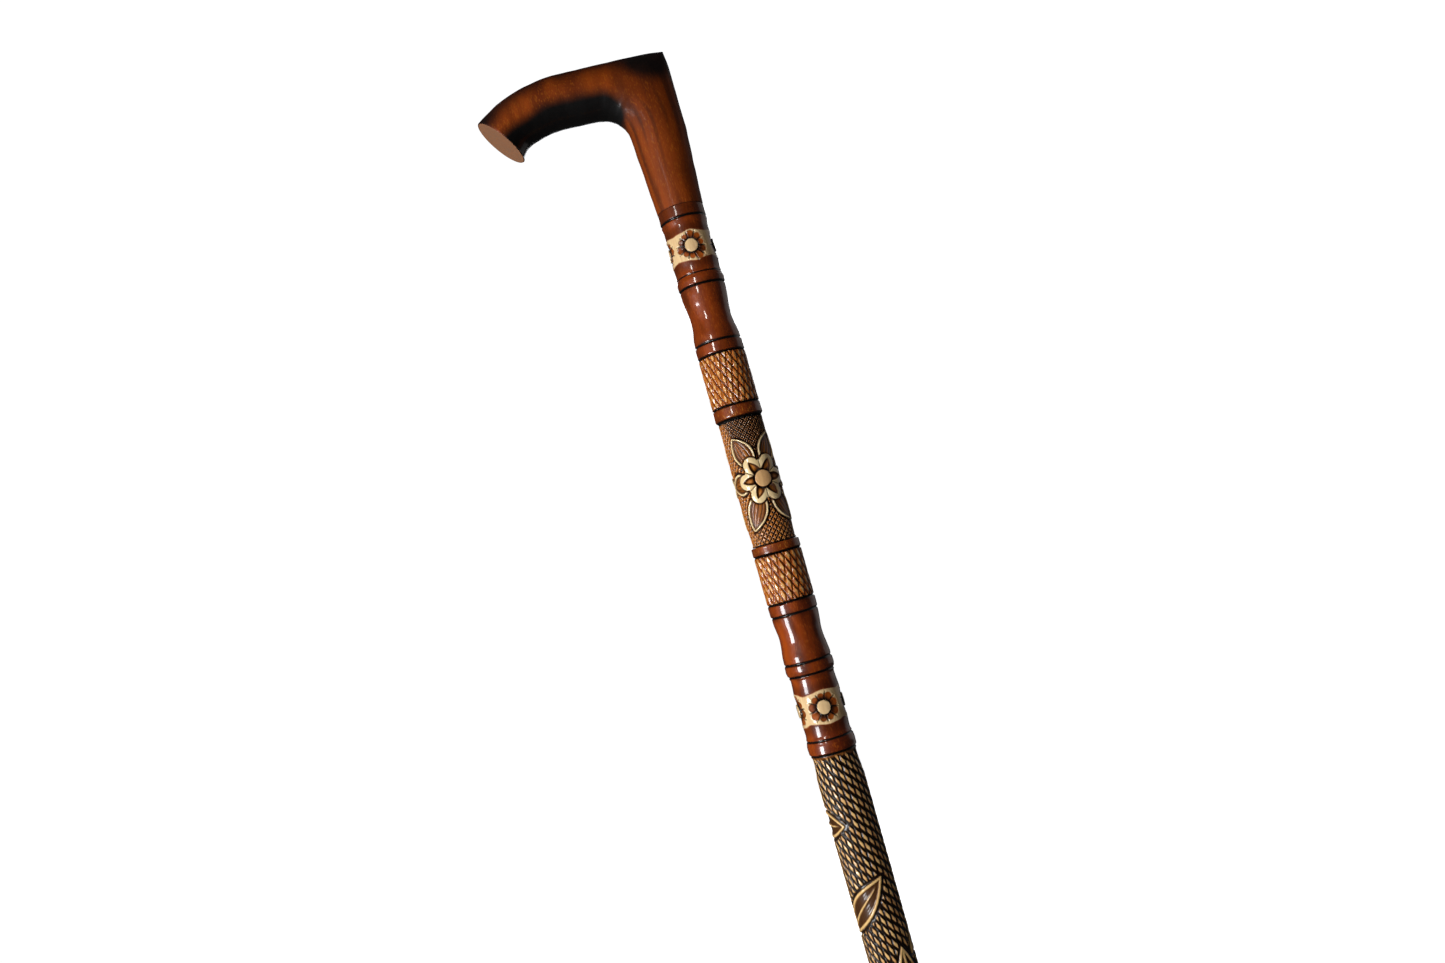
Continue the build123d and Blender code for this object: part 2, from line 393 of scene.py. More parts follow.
def hatching(down, up, seed):
    """Carving from a family that runs down to the right and one that runs up to the right."""

    def carving(turn, height):
        relief, marks = plain(turn, height)
        sway = 0.16 * uneven(turn, height, seed, 9)
        first = np.abs(family(turn, height, *down) + sway)
        second = np.abs(family(turn, height, *up) - sway)
        relief = relief - hatch_depth * np.clip(1 - np.minimum(first, second) / hatch_half, 0, 1)
        top = ease(0.8, 1.3, first) * ease(0.75, 1.2, second)
        marks["bare"] = top * np.clip(0.75 + 0.3 * uneven(turn, height, seed + 1, 5), 0, 1)
        marks["amber"] = np.clip(0.55 + 0.45 * uneven(turn, height, seed + 2, 8), 0, 1)
        marks["cut"] = 0.95 * fade(0.15, 0.55, first)
        marks["cut"] += 0.3 * fade(0.15, 0.6, second) * (first > 0.5)
        return relief, marks

    return carving


hatch_grid = (324, 0.28)
carve_hatch_one = hatching((21, -0.4421, 0.8), (25, 0.9945, 0.0), 31)
carve_hatch_two = hatching((22, -0.4501, 0.3), (22, 0.9945, 0.6), 37)
shaft_piece("hatching_upper", top_of["hatch_one"], bottom_of["hatch_one"], hatch_grid, carve_hatch_one)
shaft_piece("hatching_lower", top_of["hatch_two"], bottom_of["hatch_two"], hatch_grid, carve_hatch_two)

# %% [markdown]
# ## The big flower
# The middle panel carries a large flower with six round petals in relief, and a leaf behind each.
# The flower is there twice, on opposite sides, so only half a turn has to be described. A leaf is a
# pointed oval between a foot and a point, and its shape is one function that the lattice uses too.

# %% A leaf, measured along and across
edge_lean = 0.85


def leaf_measure(across, up, foot, point, width, power):
    """Where a place lies on a leaf: its share of the way from foot to point, its distance across the
    leaf's middle line, and how far inside the edge it is. Half the width is width × sin(πs)^power."""
    foot, point = np.array(foot), np.array(point)
    axis = point - foot
    length = np.hypot(*axis)
    axis = axis / length
    share = ((across - foot[0]) * axis[0] + (up - foot[1]) * axis[1]) / length
    sideways = (across - foot[0]) * -axis[1] + (up - foot[1]) * axis[0]
    half = width * np.sin(np.pi * np.clip(share, 0, 1)) ** power
    beyond = length * np.maximum(0, np.maximum(share - 1, -share))
    within = edge_lean * (half - np.abs(sideways))
    return share, sideways, np.where(beyond > 0, -np.hypot(beyond, sideways), within)


# %% [markdown]
# ## The ground and the leaves of the panel
# Behind the flower the carver roughens the wood: a punched grid above and below, and rows of small
# scales beside. Both repeat one cell, made with the remainder of a division. Each leaf is laid over
# the ground, with a deep cut around it.

# %% Sizes in the panel
panel_turn = 16.7
panel_middle = bottom_of["panel"] + 36.1
big_button = 4.7
petal_at, petal_round = 9.9, 4.75
half_round = 90 * DEGREE * shaft_radius
punch_pitch, punch_depth = 3.6, 0.75
scale_width, scale_height, scale_depth = 2.9, 2.1, 0.7
leaf_rise, leaf_hollow, vein_depth, leaf_cut = 0.45, 0.75, 0.22, 0.8
leaves = [
    ((-3.2, 6.0), (-12.4, 26.0), 6.3), ((3.2, 6.0), (13.0, 26.0), 6.3),
    ((-2.8, -6.0), (-14.0, -27.8), 6.3), ((2.8, -6.0), (14.6, -26.2), 6.3),
    ((-7.0, 0.0), (-half_round - 0.6, -1.0), 6.2), ((7.0, 0.0), (half_round + 0.6, -1.0), 6.2),
]


def panel_ground(across, up, relief, marks):
    """Grid: the distance to the nearest line of across ± up. Scales: ovals, every other row shifted."""
    first = np.abs(((across + up) / punch_pitch + 0.5) % 1 - 0.5)
    second = np.abs(((across - up) / punch_pitch + 0.5) % 1 - 0.5)
    far = np.abs(up)
    punched = ease(11.5, 14.0, far) * fade(8.0, 11.0, np.abs(across) - 0.32 * (far - 14))
    above = ease(-1, 1, up)
    lines = np.maximum(fade(0.1, 0.22, first + 0.2 * (1 - above)), fade(0.1, 0.22, second))
    holes = fade(0.2, 0.28, np.hypot(first - 0.5, second - 0.5))
    # painted highlight: a pale fleck at the same corner of every punched cell, later laid into the bare
    # mark
    painted_glint = fade(0.06, 0.16, np.hypot(first - 0.27, second - 0.27)) * punched
    grid = np.maximum(lines, holes) * punched
    scale_across = (across / scale_width + 0.5 * np.floor(up / scale_height)) % 1 - 0.5
    scale_up = (up / scale_height) % 1 - 0.5
    lean = scale_across * 1.35 - 0.55 * scale_up
    scale = fade(0.34, 0.5, np.hypot(lean, scale_up * 0.9)) * (1 - punched)
    light = fade(0.12, 0.26, np.abs(lean - 0.45)) * (1 - punched)
    marks["cut"] = np.maximum(grid, 0.95 * scale)
    marks["char"] = 0.6 * grid * (0.4 + 0.6 * above)
    marks["amber"] = (0.8 - 0.2 * above) * (1 - grid) * punched + 0.8 * (1 - punched)
    # here the bare mark holds the pale scale rims and the painted highlights of the punched cells
    marks["bare"] = 0.5 * light * (1 - scale) + 0.4 * painted_glint
    return relief - punch_depth * grid - scale_depth * scale, marks


def panel_leaf(across, up, shape, relief, marks):
    """One leaf: a bare raised edge, a scooped middle with fine veins, and a dark cut around it."""
    foot, point, width = shape
    share, sideways, within = leaf_measure(across, up, foot, point, width, 0.8)
    on = ease(-0.1, 0.15, within)
    core = ease(0.95, 1.2, within)
    gouge = 1.25 + 1.3 * ease(0.35, 0.8, share) * (point[1] < 0) * (sideways * point[0] > 0)
    outside = ease(-gouge, -gouge + 0.5, within) * fade(-0.2, 0.1, within)
    veins = np.cos(sideways / np.maximum(width * np.sin(np.pi * np.clip(share, 0, 1)), 0.8) * 16)
    veins = ease(0.1, 0.9, veins) * core
    carved = on * (leaf_rise - leaf_hollow * core - vein_depth * veins)
    relief = relief * (1 - on) + carved - leaf_cut * outside
    keep = (1 - on) * (1 - outside)
    # painted shade: the hollow of each leaf darkens beside its raised edge, with a paler painted
    # highlight down its middle, and goes into the cut mark
    shade = core * (0.4 + 0.55 * ease(3.2, 1.2, within))
    darkest = np.maximum.reduce([0.7 * outside, shade, 0.9 * veins])
    lay(marks, keep, bare=on * (1 - core), amber=0.75 * core, cut=darkest)
    marks["char"] = np.maximum(marks["char"], 0.85 * ease(-gouge + 0.25, -gouge + 0.65, within))
    marks["char"] = marks["char"] * (1 - on)
    return relief, marks


# %% [markdown]
# ## The petals
# The six petals are alike, so the carving looks at one sixth of a turn: a round petal, joined to the
# button by a wedge, with a pointed heart scooped into it. A flat button and a deep black moat finish
# the flower.

# %% Carve the flower panel
heart_start, heart_length, heart_width = 5.0, 7.4, 2.6
petal_rise, petal_fall, heart_depth, shadow_depth, ring_depth = 0.75, 0.25, 1.15, 0.7, 0.8


def carve_panel(turn, height):
    """Six petals around a button. A heart's half width is width × (1 − share^2.4) along the petal."""
    relief, marks = plain(turn, height)
    inside_zone = (height < top_of["panel"]) & (height > bottom_of["panel"])
    across, up = flat(turn, height, panel_turn, panel_middle, repeat=180)
    ground, marks = panel_ground(across, up, relief - 0.1, marks)
    for shape in leaves:
        ground, marks = panel_leaf(across, up, shape, ground, marks)
    away = np.hypot(across, up)
    around = np.degrees(np.arctan2(up, across))
    local = ((around + 30) % 60 - 30) * DEGREE
    out, side = away * np.cos(local), away * np.sin(local)
    rim = petal_round - np.hypot(out - petal_at, side)
    to_next = out * math.tan(30 * DEGREE) - np.abs(side)
    wedge = np.minimum(to_next, petal_at - out)
    petal = np.minimum(np.maximum(rim, wedge), to_next)
    on = ease(0.0, 0.3, petal)
    shadow = ease(-1.0, -0.4, rim) * (1 - on)
    heart = 1 - np.clip((out - heart_start) / heart_length, 0, 1) ** 2.4 - np.abs(side) / heart_width
    core = ease(0.0, 0.1, heart)
    split = on * fade(0.1, 0.35, petal)
    dome = petal_rise - petal_fall * ease(2.4, 0.0, rim) - heart_depth * ease(0.0, 0.7, heart)
    relief = ground * (1 - on) + on * dome - shadow_depth * shadow
    # painted shade: each heart darkens towards its sides and towards the button, where the hollow is
    # deepest, and goes into the cut mark
    shade = core * np.clip(1.2 - 1.0 * ease(0.1, 0.85, heart) + 0.6 * ease(8.5, 5.5, out), 0, 1)
    keep, cut = (1 - on) * (1 - shadow), 0.95 * on * shade
    lay(marks, keep, bare=on * (1 - core), amber=on * core, cut=cut, char=0.45 * shadow)
    marks["cut"] = np.maximum.reduce([marks["cut"], shadow * 0.9, split * 0.8])
    past_button = away - big_button
    disc = fade(-0.1, 0.15, past_button)
    moat = ease(-0.05, 0.2, past_button) * fade(0.7, 1.6, past_button)
    relief = relief * (1 - disc) + petal_rise * disc - ring_depth * moat
    lay(marks, 1 - disc, bare=0.5 * disc, amber=disc, cut=0.0, char=0.0)
    marks["char"] = np.maximum(marks["char"], moat)
    marks = {mark: values * inside_zone for mark, values in marks.items()}
    return relief * inside_zone, marks


panel_grid = (324, 0.3)
shaft_piece("flower_panel", top_of["ring_three"], bottom_of["ring_four"], panel_grid, carve_panel)

# %% [markdown]
# ## The dark lattice with leaves
# Below the turned part the stick is stained black and cut with upright and slanting grooves, which
# leave small pale lozenges. Large leaves lie in the lattice on a dark ground. The first are listed
# one by one, and more follow in a loop, each further around, as a carver winds a vine around a stick.

# %% The lattice and its vine
columns_around = 26
lozenge_pitch = 5.34
column_shift, row_shift = 0.75, 0.275
lozenge_half_width, lozenge_half_height, lozenge_shear = 1.06, 1.5, 0.5
lattice_starts = 15
lattice_radius, lattice_depth = 13.3, 0.75
outline_depth, hollow_depth, streak_depth = 0.85, 0.65, 0.08
leaf_shapes = [
    (-23.7, 459.5, 175.0, 29.0, 7.5), (30.5, 429.4, 222.7, 46.0, 7.0), (37.0, 344.5, 272.0, -46.0, 7.6),
]
tail_way, tail_back, tail_length, tail_drop = (0.834, 0.552), 4.5, 9.0, 1.2
for step in range(6):
    leaf_shapes.append((150.0 + 137.5 * step, 405.0 - 44.0 * step, 225.0 + 90.0 * (step % 2), 30.0, 6.4))


def lattice_leaf(turn, height, shape, relief, marks):
    """A leaf whose point is at (turn, height) and which runs back in a direction, in degrees. A bare
    edge and midrib stand up, the two halves are scooped and dark, and a deep cut goes all round."""
    point_turn, point_height, heading, length, width = shape
    across, up = flat(turn, height, point_turn, point_height, lattice_radius)
    back = (length * math.cos(heading * DEGREE), length * math.sin(heading * DEGREE))
    share, sideways, within = leaf_measure(across, up, back, (0.0, 0.0), width, 0.9)
    on = ease(-0.1, 0.2, within)
    core = ease(1.2, 1.6, within)
    rib = fade(0.35, 0.7, np.abs(sideways) / (1.5 - 1.1 * share)) * ease(0.98, 0.75, share) * core
    rib = np.where(share < 0.8, rib, rib * np.clip((0.86 - share) / 0.06, 0, 1))
    outside = ease(-1.7, -1.2, within) * (1 - on)
    streak = 0.5 + 0.5 * np.cos(sideways * 5.0 + 3 * share)
    keep = (1 - on) * (1 - outside)
    relief = relief * keep - outline_depth * outside
    relief = relief + on * (0.05 - hollow_depth * core * (1 - rib) - streak_depth * streak * core)
    bare = on * (1 - core) + rib + 0.1 * streak * core * (1 - rib)
    char = 0.95 * outside + 0.84 * core * (1 - rib)
    lay(marks, keep, bare=bare, cut=0.0, amber=on, char=char)
    return relief, marks


def leaf_tail(turn, height, shape, relief, marks):
    """A short twig past a leaf's point: the distance to a line, with a cut on both sides of it."""
    across, up = flat(turn, height, shape[0], shape[1], lattice_radius)
    along = across * tail_way[0] + up * tail_way[1]
    along = np.clip(along, -tail_back, tail_length - tail_back)
    off = np.hypot(across - along * tail_way[0], up - along * tail_way[1] + tail_drop)
    tail = fade(0.3, 0.55, off)
    flank = fade(0.8, 1.2, off) * (1 - tail)
    keep = (1 - flank) * (1 - tail)
    lay(marks, keep, bare=0.25 * tail, cut=0.35 * tail + 0.3 * flank, char=0.3 * tail + 0.95 * flank)
    return relief * keep - 0.7 * flank - 0.15 * tail, marks


def carve_lattice(turn, height):
    """Lozenges where both groove families are far away, then each leaf over them."""
    relief, marks = plain(turn, height)
    sway = 0.22 * uneven(turn, height, 51, 11)
    column_width = 360 / columns_around
    column = turn / column_width + column_shift + 0.04 * sway + 0.5
    upright = (column % 1 - 0.5) * column_width * DEGREE * lattice_radius
    row = height / lozenge_pitch + lattice_starts * turn / 360 + row_shift + 0.06 * sway
    cell = np.floor(row) * columns_around - np.floor(column) * lattice_starts
    tone = np.sin(cell * 12.9898) * 43758.5453 % 1
    row = (row % 1 - 0.5) * lozenge_pitch + lozenge_shear * upright
    size = 0.96 + 0.12 * uneven(turn, height, 57, 7) + 0.1 * (tone - 0.5)
    reach = np.maximum(np.abs(upright / lozenge_half_width), np.abs(row / lozenge_half_height)) / size
    lozenge = fade(0.82, 0.98, reach)
    relief = relief - lattice_depth * ease(0.85, 1.5, reach)
    marks["bare"] = lozenge * (0.5 + 0.5 * tone)
    marks["amber"] = np.ones(turn.shape)
    marks["cut"] = 0.5 * ease(0.7, 1.0, reach)
    marks["char"] = 0.97 * ease(0.9, 1.08, reach)
    for number, shape in enumerate(leaf_shapes):
        relief, marks = lattice_leaf(turn, height, shape, relief, marks)
        if number == 0:
            relief, marks = leaf_tail(turn, height, shape, relief, marks)
    rim = ease(lattice_top - 2.6, lattice_top - 1.0, height + 0.5 * uneven(turn, height * 0, 53, 6))
    lay(marks, 1 - rim, bare=0.0, char=0.0)
    return relief * (1 - rim), marks


lattice_pieces = 4
lattice_grid, tip_grid = (260, 0.42), (128, 0.6)
lattice_cuts = np.linspace(lattice_top, lattice_end, lattice_pieces + 1)
for number, (top, bottom) in enumerate(zip(lattice_cuts, lattice_cuts[1:])):
    shaft_piece(f"lattice_{number + 1}", top, bottom, lattice_grid, carve_lattice)
shaft_piece("shaft_tip", lattice_end, bottom_of["tip"], tip_grid, plain)

# %% [markdown]
# ## The handle
# A neck widens upwards to a square corner, then come a straight arm and a nose that bends down. The
# sections are ellipses that turn with the wood, each known by its inner and outer point in the plane
# of symmetry. The corner is a fan of sections around one pivot, and the nose bends around another.

# %% Sections of the handle
handle_low, handle_high = (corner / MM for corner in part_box("handle"))
crown = handle_high.z + 0.36
arm_radius, arm_straight, arm_drop = 15.4, 45.0, 2.2
bend_radius, bend_angle = 72.0, 39.0
nose_slim, nose_flare, nose_flare_angle = 1.4, 3.2, 10.0
neck_depth, inner_radius, joint_radius = 16.4, 15.0, 13.6
corner_soften = 1.25


def handle_sections():
    """Points in mm in the plane of symmetry, from the seam to the nose: inner edge, spine, outer edge
    and a gentler outer edge. In the fan the outer edge is the neck's back or the arm's top, and the
    gentler one is the same with its corner rounded off. The spine is where a section is widest."""
    middle_height = crown - arm_drop - arm_radius
    pivot = np.array([-neck_depth - inner_radius, middle_height - arm_radius - inner_radius])
    to_back, to_top = neck_depth - pivot[0], crown - pivot[1]
    slope = arm_drop / (arm_straight + neck_depth)
    corner = math.atan2(to_top, to_back)
    turn = np.concatenate([np.linspace(0, corner, 40), np.linspace(corner, math.pi / 2, 40)[1:]])
    along_back = to_back / np.maximum(np.cos(turn), 1e-9)
    along_top = (to_top - slope * to_back) / np.maximum(np.sin(turn) - slope * np.cos(turn), 1e-9)
    reach = np.minimum(along_back, along_top)
    softened = corner_soften * np.exp(-(((turn - corner) / 0.065) ** 2))
    spread = np.exp(-(((turn[:, None] - turn) / 0.2) ** 2)) * np.gradient(turn)
    gentle = (spread * reach).sum(1) / spread.sum(1)
    gentle = np.where(np.abs(turn - corner) > 0.6, reach, np.minimum(gentle, reach))
    ray = np.stack([np.cos(turn), np.sin(turn)], -1)
    inner = np.full(len(turn), inner_radius)
    fan = [pivot + size[:, None] * ray for size in (inner, inner + arm_radius, reach - softened, gentle)]
    bend = np.linspace(0, bend_angle, 60)
    flare = np.clip((bend - bend_angle + nose_flare_angle) / nose_flare_angle, 0, None) ** 2
    slimmed = nose_slim * np.minimum(1, bend / (bend_angle - nose_flare_angle))
    below = arm_radius - slimmed + nose_flare * flare
    bent = bend * DEGREE
    middle = np.stack([-arm_straight - bend_radius * np.sin(bent),
                       middle_height - bend_radius * (1 - np.cos(bent))], -1)
    up = np.stack([-np.sin(bent), np.cos(bent)], -1)
    top = middle + arm_radius * up
    nose = (middle - below[:, None] * up, middle - 0.5 * (below - arm_radius)[:, None] * up, top, top)
    seam_across = (-joint_radius, 0.0, joint_radius, joint_radius)
    parts = zip(seam_across, fan, nose)
    return [np.concatenate([[[x, handle_low.z]], turning, bending]) for x, turning, bending in parts]


def even_steps(edges, step):
    """The same sections, read off at equal steps along the line halfway between inner and outer edge."""
    middle = (edges[0] + edges[2]) / 2
    way = np.concatenate([[0], np.cumsum(np.linalg.norm(np.diff(middle, axis=0), axis=1))])
    stops = np.linspace(0, way[-1], round(way[-1] / step) + 1)
    return stops, [np.stack([np.interp(stops, way, edge[:, k]) for k in (0, 1)], -1) for edge in edges]


def calmed(way, edge, reach):
    """A weighted mean along the way, with weights exp(−(distance / reach)²). The ends stay put."""
    weight = np.exp(-(((way[:, None] - way) / reach) ** 2))
    mean = (weight[..., None] * edge).sum(1) / weight.sum(1)[:, None]
    share = (ease(0, 2 * reach, way) * ease(0, 2 * reach, way[-1] - way))[:, None]
    return edge + share * (mean - edge)


section_step, calm_reach, width_calm_reach = 0.6, 4.0, 8.0
way, (inner, spine, outer, gentle) = even_steps(handle_sections(), section_step)
inner, spine, gentle = (calmed(way, edge, calm_reach) for edge in (inner, spine, gentle))
handle_edges = inner, spine, outer, gentle
print("the handle is", round(way[-1]), "mm long along its middle")

# %% [markdown]
# ## Scorching the handle
# The maker passes a flame under the arm and over the corner, so orange brown turns to black. These
# patches follow the way along the handle and the angle from its top. The nose is sawn off and left
# bare: its rows turn in over a small round edge and close in rings.

# %% Build the handle
handle_columns, end_rings = 240, 14
edge_round, handle_lump = 0.7, 0.1


def handle_skin():
    """Each section is two half ellipses that share their width at the spine. The outer half reaches
    the gentle edge at its sides and the sharp one at its very top, so only the silhouette is sharp."""
    inner, spine, outer, gentle = handle_edges
    along = (outer - inner) / np.linalg.norm(outer - inner, axis=1, keepdims=True)
    angle = whole_turn(handle_columns)
    wide = np.minimum(np.linalg.norm(outer - inner, axis=1) / 2, arm_radius)
    wide = calmed(way, wide[:, None], width_calm_reach)[:, 0]
    to_inner = np.linalg.norm(spine - inner, axis=1)
    to_outer, to_gentle = (np.linalg.norm(edge - spine, axis=1) for edge in (outer, gentle))
    arc = np.linspace(0.3, math.pi / 2, 5)
    rings = np.linspace(edge_round, wide[-1] - 0.4, end_rings)[1:]
    inset = np.concatenate([edge_round * (1 - np.cos(arc)), rings])
    sink = np.concatenate([edge_round * (1 - np.sin(arc)), 0 * rings])
    forward = np.array([-along[-1, 1], along[-1, 0]])
    rows, shrink = len(wide) - 1, 1 - inset / wide[-1]
    sizes = (wide, to_inner, to_outer, to_gentle)
    wide, to_inner, to_outer, to_gentle = (np.concatenate([s[:rows], s[-1] * shrink]) for s in sizes)
    spine = np.concatenate([spine[:rows], spine[-1] - sink[:, None] * forward])
    along = np.concatenate([along[:rows], np.broadcast_to(along[-1], (len(inset), 2))])
    way_here = np.concatenate([way[:rows], np.full(len(inset), way[-1])])
    end = np.concatenate([np.zeros(rows), ease(0.25, 0.6, inset)])
    lump = handle_lump * uneven(np.degrees(angle)[None], way_here[:, None], 61, 22) * (1 - end[:, None])
    lump = lump * ease(0, 10, way_here)[:, None]
    cosine = np.cos(angle)[None]
    top = to_gentle[:, None] + (to_outer - to_gentle)[:, None] * ease(0.7, 1.0, cosine)
    high = (np.where(cosine > 0, top, to_inner[:, None]) + lump) * cosine
    points = np.stack([
        spine[:, :1] + high * along[:, :1],
        (wide[:, None] + lump) * np.sin(angle),
        spine[:, 1:] + high * along[:, 1:],
    ], -1)
    return points, way_here, np.degrees(angle), end


def scorch(points, way_here, angle, end):
    """Marks for the handle. `from_top` is 0 on the outside of the bend and 180 under the arm."""
    from_top = 180 - np.abs(angle[None] - 180)
    along = way_here[:, None]
    waver = 2.5 * uneven(angle[None], along, 67, 34)
    border = 108 + 60 * np.clip((102 - along) / 40, 0, None) ** 1.6 - 14 * ease(150, 169, along)
    under = ease(-16, 15, from_top - border + waver) * ease(50, 76, along)
    to_corner = np.hypot((points[..., 0] - 3.5) / 17.5, (points[..., 2] - crown + 8.0) / 14.0)
    corner = fade(0.55, 1.25, to_corner + 0.012 * waver)
    nose = ease(132, 170, along + waver) * fade(40, 96, from_top)
    top = fade(36, 84, from_top + waver) * ease(55, 95, along)
    back = fade(8, 44, from_top + waver) * fade(55, 95, along) * 0.6
    neck = fade(70, 100, along) * (0.12 + 0.04 * waver)
    streak = ease(0.1, 0.9, uneven(angle[None], along * 0.06, 71, 6)) * 0.4 * fade(60, 90, along)
    seam_line = 0.9 * fade(0.2, 0.7, along)
    char = np.maximum.reduce([under, 0.93 * corner, 0.85 * nose])
    bare = np.broadcast_to(end[:, None], char.shape)
    return {
        "char": char * (1 - bare),
        "cut": np.clip(np.maximum(0.8 * top, back) + neck + streak + seam_line, 0, 1) * (1 - bare),
        "bare": bare.copy(),
        "amber": np.zeros(char.shape),
    }


skin, way_here, around_handle, end = handle_skin()
burns = scorch(skin, way_here, around_handle, end)
flipped = {mark: values[::-1] for mark, values in burns.items()}
handle = closed_skin("handle_body", skin[::-1] * MM, flipped)
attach(handle, "cane")
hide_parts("handle")

# %% [markdown]
# ## The rubber foot
# The foot is a moulded rubber cup that pushes onto the stick. It is round, so a profile in (radius,
# height) is carried around the axis. A moulding has no sharp edge, so each corner of the profile is
# cut back to a short arc first.

# %% Turn the foot
foot_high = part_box("ferrule")[1] / MM
foot_radius, foot_top = foot_high.x, foot_high.z
tip_radius, foot_wall, foot_floor, base_height = 11.1, 3.0, 8.0, 9.0
foot_columns = 160
socket_radius = tip_radius + 0.05
sleeve_radius = socket_radius + foot_wall


def foot_profile():
    """Corners of the closed profile and the radius of the arc at each: up the outside, down the bore."""
    corners = [(0.0, 0.0, 0.0), (6.0, 0.0, 0.3), (6.0, 1.4, 0.3), (8.0, 1.4, 0.3), (8.0, 0.0, 0.3),
               (10.5, 0.0, 0.3), (10.5, 1.4, 0.3), (12.5, 1.4, 0.3), (12.5, 0.0, 0.3),
               (foot_radius, 0.0, 1.4), (foot_radius, base_height, 1.2),
               (sleeve_radius + 0.9, base_height + 3.4, 2.5)]
    for rib in range(3):
        height = foot_top - 12.5 + 4.4 * rib - 2
        corners += [(sleeve_radius, height - 1.4, 0.3), (sleeve_radius + 1.0, height - 0.7, 0.5),
                    (sleeve_radius + 1.0, height + 0.7, 0.5), (sleeve_radius, height + 1.4, 0.3)]
    corners += [(sleeve_radius, foot_top, 0.8), (socket_radius, foot_top, 0.7),
                (socket_radius, foot_floor, 0.4), (0.0, foot_floor, 0.0)]
    return corners


def rounded(corners, points_each=5):
    """Replaces each corner with a short curve: a blend from one side's cut point to the other's."""
    line = [np.array(corners[0][:2])]
    for before, here, after in zip(corners, corners[1:], corners[2:]):
        a, b, c = (np.array(p[:2], float) for p in (before, here, after))
        to_a, to_c = np.linalg.norm(a - b), np.linalg.norm(c - b)
        cut = min(here[2], 0.45 * to_a, 0.45 * to_c)
        first, last = b + (a - b) / to_a * cut, b + (c - b) / to_c * cut
        for t in np.linspace(0, 1, points_each):
            line.append((1 - t) ** 2 * first + 2 * t * (1 - t) * b + t**2 * last)
    line.append(np.array(corners[-1][:2]))
    return np.array(line)


foot_line = rounded(foot_profile())[::-1]
foot_angle = whole_turn(foot_columns)
foot_reach, foot_height = foot_line[1:-1, :1], foot_line[1:-1, 1:]
foot_points = np.stack([
    foot_reach * np.cos(foot_angle), foot_reach * np.sin(foot_angle), foot_height + 0 * foot_angle
], -1) * MM
foot = closed_skin("rubber_foot", foot_points, {})
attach(foot, "tip")
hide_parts("ferrule")

# %% [markdown]
# ## Writing finishes as sums
# A Blender material is a net of nodes, and a formula drawn as a net is hard to read. A small class
# wraps a node's output, so that `share * 0.5 + 0.2` adds the Math nodes for it. Any other node comes
# from one method that takes its type, its settings and what goes into its sockets.

# %% A finish and its amounts


class Amount:
    """What a node gives out. Each operator adds a Math node and wraps its output."""

    def __init__(self, finish, socket):
        self.finish = finish
        self.socket = socket

    def __add__(self, other):
        return self.finish.maths("ADD", self, other)

    def __mul__(self, other):
        return self.finish.maths("MULTIPLY", self, other)

    __radd__ = __add__
    __rmul__ = __mul__


class Finish:
    """One material: a Principled shader and the nodes that feed it."""

    def __init__(self, name):
        self.material = bpy.data.materials.new(name)
        self.material.use_nodes = True
        self.tree = self.material.node_tree
        self.shader = self.tree.nodes["Principled BSDF"]

    def set(self, **sockets):
        for name, value in sockets.items():
            self.feed(self.shader.inputs[name.replace("_", " ")], value)

    def feed(self, socket, value):
        if isinstance(value, Amount):
            self.tree.links.new(value.socket, socket)
        else:
            socket.default_value = value

    def node(self, kind, settings, sockets, output=0):
        made = self.tree.nodes.new("ShaderNode" + kind)
        for key, value in settings.items():
            setattr(made, key, value)
        for key, value in sockets.items():
            self.feed(made.inputs[key], value)
        return Amount(self, made.outputs[output])

    def maths(self, operation, first, second):
        return self.node("Math", {"operation": operation}, {0: first, 1: second})

    def mark(self, name):
        return self.node("Attribute", {"attribute_name": name}, {}, "Fac")

    def mix(self, share, first, second):
        return self.node("Mix", {"data_type": "RGBA"}, {0: share, 6: first, 7: second}, 2)

    def noise(self, scale, stretch=(1, 1, 1), detail=3.0, low=0.35, high=0.65):
        """Noise on Object coordinates, `scale` lumps to the metre, with low..high spread to 0..1."""
        place = self.node("TexCoord", {}, {}, "Object")
        place = self.node("Mapping", {}, {"Vector": place, "Scale": stretch})
        raw = self.node("TexNoise", {}, {"Vector": place, "Scale": scale, "Detail": detail})
        return self.node("MapRange", {"clamp": True}, {0: raw, 1: low, 2: high})

    def bump(self, height, distance, strength=1.0):
        sockets = {"Height": height, "Distance": distance, "Strength": strength}
        return self.node("Bump", {}, sockets, "Normal")


def colour(red, green, blue):
    """A screen colour, 0 to 255, as the linear light that a shader works in."""
    share = np.array([red, green, blue]) / 255
    linear = np.where(share <= 0.04045, share / 12.92, ((share + 0.055) / 1.055) ** 2.4)
    return (*linear.tolist(), 1.0)


# %% [markdown]
# ## Lacquered wood
# All the wood is the same pale beech: stained, scooped thin, cut with a knife, or burnt. The marks
# say where, and in carved hollows and on the punched ground they also carry painted shade and painted
# highlights, so one recipe with different stains serves every piece. Grain is noise stretched along
# the stick, and the varnish is a clear coat with a faint ripple.

# %% Recipe for carved, stained and lacquered wood
soot = colour(5, 3, 2)


